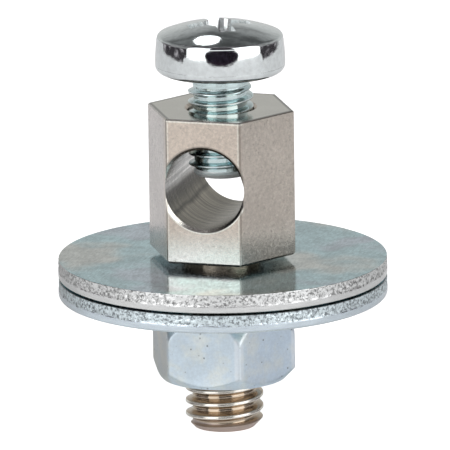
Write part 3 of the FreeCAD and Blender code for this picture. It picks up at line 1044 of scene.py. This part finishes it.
class TERMINAL_OT_stage(bpy.types.Operator):
    """Camera, softboxes, surroundings and the pale floor"""

    bl_idname = "terminal.stage"
    bl_label = "Stage"

    def place(self, context, name, data, axes, place):
        """An object at a place, turned to three axes."""
        thing = bpy.data.objects.new(name, data)
        thing.matrix_world = Matrix.Translation(place) @ Matrix(axes).transposed().to_4x4()
        context.scene.collection.objects.link(thing)
        return thing

    def camera(self, context, size):
        away, level = around(size.azimuth)
        back = away * math.cos(size.elevation) + ABOVE * math.sin(size.elevation)
        upright = back.cross(level)
        right = level * math.cos(size.roll) - upright * math.sin(size.roll)
        up = level * math.sin(size.roll) + upright * math.cos(size.roll)
        aim = ABOVE * size.aim_height + right * size.shift_right + up * size.shift_up
        data = bpy.data.cameras.new("camera")
        data.lens, data.sensor_width = size.focal_length, 36
        data.clip_start, data.clip_end = 0.01, 50
        eye = aim + back * size.distance
        context.scene.camera = self.place(context, "camera", data, (right, up, back), eye)

    def softbox(self, context, name, turn, height, distance, width, tall, dimmed=1.0, aim=None):
        """A flat light that faces the axis, or an ellipse over the object that faces a height on it."""
        size = context.scene.terminal_stage
        data = bpy.data.lights.new(name, "AREA")
        data.shape = "RECTANGLE" if aim is None else "ELLIPSE"
        data.size, data.size_y = width, tall
        data.energy = size.softbox * dimmed * math.pi * width * tall
        away, _ = around(size.azimuth + math.radians(turn))
        place = away * distance + ABOVE * height
        back = (place - ABOVE * (height if aim is None else aim)).normalized()
        right = ABOVE.cross(back).normalized()
        self.place(context, name, data, (right, back.cross(right), back), place)

    def card(self, size):
        """A low dark card in front, which the screw's head mirrors and the camera doesn't see."""
        away, across = around(size.azimuth + size.card_turn)
        centre = away * size.card_distance + ABOVE * size.card_height
        side, rise = across * size.card_half_width, ABOVE * size.card_half_height
        paint = new_shading("dark_card")
        weave = paint.noise(90.0).ramp(0.35, 0.65)
        tone = paint.mix(weave, (0.005, 0.004, 0.006), (0.05, 0.035, 0.06))
        dark = paint.add("ShaderNodeBsdfDiffuse", {"Color": tone})
        mirrored = paint.add("ShaderNodeLightPath", output="Is Glossy Ray")
        clear = paint.add("ShaderNodeBsdfTransparent")
        material = paint.show(paint.add("ShaderNodeMixShader", {0: mirrored, 1: clear, 2: dark}))
        mesh = disc("dark_card", 64, lambda x, y, _: centre + side * x + rise * y)
        new_object("dark_card", mesh, material)

    def surroundings(self, context, size):
        """A dim room with pale blots and walls, brightest low down behind the object."""
        room = Shading(bpy.data.worlds.new("studio"), "Generated")
        mix = room.mix
        ahead, aside = (room.vector("DOT_PRODUCT", level, "Value") for level in around(size.azimuth))
        behind = -ahead
        _, _, z = room.split(room.place)
        blots = room.noise(4.5, 2.0, 0.6, stretch=(1.0, 1.0, 4.0)).ramp(0.48, 0.62)
        tone = mix(blots * (1.0 - ahead.ramp(0.3, 0.45)), size.room, size.clutter)
        tone = mix(abs(aside).ramp(0.45, 0.85) * z.ramp(0.08, 0.2), tone, grey(0.3))
        low_wall = behind.ramp(0.45, 0.75).higher_of(z.ramp(0.1, 0.35))
        back_wall = mix(z.ramp(0.15, 0.75), size.backdrop, size.ceiling)
        tone = mix(behind.ramp(0.05, 0.6) * low_wall, tone, back_wall)
        tone = mix((-z).ramp(0.35, 0.55), tone, size.backdrop)
        high_clutter = room.noise(5.0, 3.0, 0.6).ramp(0.35, 0.6)
        tone = mix(z.ramp(0.3, 0.5), tone, room.vary(tone, high_clutter, 0.55, 1.15))
        light = room.add("ShaderNodeBackground", {"Color": tone, "Strength": 1.0})
        context.scene.world = room.show(light, "World")

    def floor(self, size):
        """A pale floor, white for the camera; metal mirrors a round table of it, shaded under the object and
        with painted shade behind it.
        """
        paint = new_shading("floor")
        seen = paint.add("ShaderNodeLightPath", output="Is Camera Ray")
        mirrored = paint.other_output(seen, "Is Glossy Ray")
        shadowing = paint.other_output(seen, "Is Shadow Ray")
        radius = paint.vector("DISTANCE", (0, 0, 0), "Value")
        ahead, aside = (paint.vector("DOT_PRODUCT", level, "Value") for level in around(size.azimuth))

        # The metal sees the room beyond the table, and through rings that the neck and the washers mirror
        forward = (ahead + 0.2 * aside.higher_of(0.0)) / radius
        long_sides = forward.ramp(0.35, 0.43).higher_of((-forward).ramp(0.5, 0.65))
        beyond = (radius / (0.5 + 0.5 * long_sides)).ramp(size.table * 0.92, size.table * 1.08)
        for_neck = radius.ramp(0.108, 0.1088) * (1.0 - radius.ramp(0.112, 0.113))
        under_washers = radius.ramp(0.006, 0.007) * (1.0 - radius.ramp(0.014, 0.02))
        clear = beyond.higher_of(under_washers) * mirrored.higher_of(shadowing)
        clear = clear.higher_of(for_neck * mirrored)

        # A dark oval in front, which the flank of the screw's head mirrors
        flank_height, flank_slope, flank_turn = 0.03, 0.009, 0.04
        across = (aside / ahead - flank_turn) / math.tan(math.radians(30))
        along = (flank_height / radius - flank_slope) / 0.105
        spot = 1.0 - (across * across + along * along).ramp(0.8, 1.1)
        spot = spot * ahead.ramp(0.05, 0.1) * mirrored
        dark = (0.02, 0.01, 0.02)

        # Painted shade: what the metal mirrors of the floor is darker behind the object, darkest close to it
        lit = ahead.ramp(-0.03, 0.03).higher_of(radius.ramp(0.03, 0.07) * 0.6).higher_of(seen)
        tone = paint.mix(spot, paint.mix(lit, grey(0.55), grey(1.0)), dark)
        sockets = {"Color": tone, "Strength": seen * 0.85 + mirrored * 0.33}
        glow = paint.add("ShaderNodeEmission", sockets)
        diffuse = paint.add("ShaderNodeBsdfDiffuse", {"Color": paint.mix(spot, size.floor, dark)})
        shown = paint.add("ShaderNodeAddShader", {0: diffuse, 1: glow})
        open_air = paint.add("ShaderNodeBsdfTransparent")
        material = paint.show(paint.add("ShaderNodeMixShader", {0: clear, 1: shown, 2: open_air}))
        mesh = disc("floor", 96, lambda *place: Vector(place) * size.floor_radius)
        new_object("floor", mesh, material)

    def execute(self, context):
        size = context.scene.terminal_stage
        self.camera(context, size)
        sides = {"height": 0.45, "distance": 0.8, "tall": 1.7}
        self.softbox(context, "softbox_left", turn=-41, width=0.6, **sides)
        self.softbox(context, "softbox_right", turn=52, width=0.72, **sides)
        front = {"height": 0.29, "distance": 1.3, "tall": 0.4}
        self.softbox(context, "softbox_front", turn=3.8, width=1.17, dimmed=0.65, **front)
        over = {"height": 0.74, "distance": 0.65, "tall": 0.23, "aim": 0.015}
        self.softbox(context, "softbox_over", turn=187, width=0.165, **over)
        self.surroundings(context, size)
        self.floor(size)
        self.card(size)
        context.scene.view_settings.view_transform = "Standard"
        return {"FINISHED"}


class TERMINAL_PT_panel(bpy.types.Panel):
    """Builds the terminal piece by piece"""

    bl_idname = "TERMINAL_PT_panel"
    bl_label = "Earthing Stud Terminal"
    bl_space_type = "VIEW_3D"
    bl_region_type = "UI"
    bl_category = "Terminal"

    def draw(self, context):
        for step in STEPS:
            box = self.layout.box()
            box.operator(step.bl_idname)
            settings = getattr(context.scene, step.bl_idname.replace(".", "_"), None)
            for key in getattr(settings, "__annotations__", ()):
                box.prop(settings, key)


SETTINGS = {
    "terminal_block": BlockSettings,
    "terminal_screw": ScrewSettings,
    "terminal_washers": WasherSettings,
    "terminal_nut": NutSettings,
    "terminal_stage": StageSettings,
}
STEPS = (
    TERMINAL_OT_block,
    TERMINAL_OT_screw,
    TERMINAL_OT_washers,
    TERMINAL_OT_lock_washer,
    TERMINAL_OT_nut,
    TERMINAL_OT_stage,
)


def register():
    for name, group in SETTINGS.items():
        bpy.utils.register_class(group)
        setattr(bpy.types.Scene, name, PointerProperty(type=group))
    for kind in (*STEPS, TERMINAL_PT_panel):
        bpy.utils.register_class(kind)


def unregister():
    for kind in (TERMINAL_PT_panel, *reversed(STEPS)):
        bpy.utils.unregister_class(kind)
    for name, group in reversed(SETTINGS.items()):
        delattr(bpy.types.Scene, name)
        bpy.utils.unregister_class(group)


def main():
    """Builds every piece and the stage."""
    register()
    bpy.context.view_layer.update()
    for step in STEPS:
        name = step.bl_idname.removeprefix("terminal.")
        if getattr(bpy.ops.terminal, name)() != {"FINISHED"}:
            raise RuntimeError(f"{step.bl_label} didn't finish")


if __name__ == "__main__":
    main()
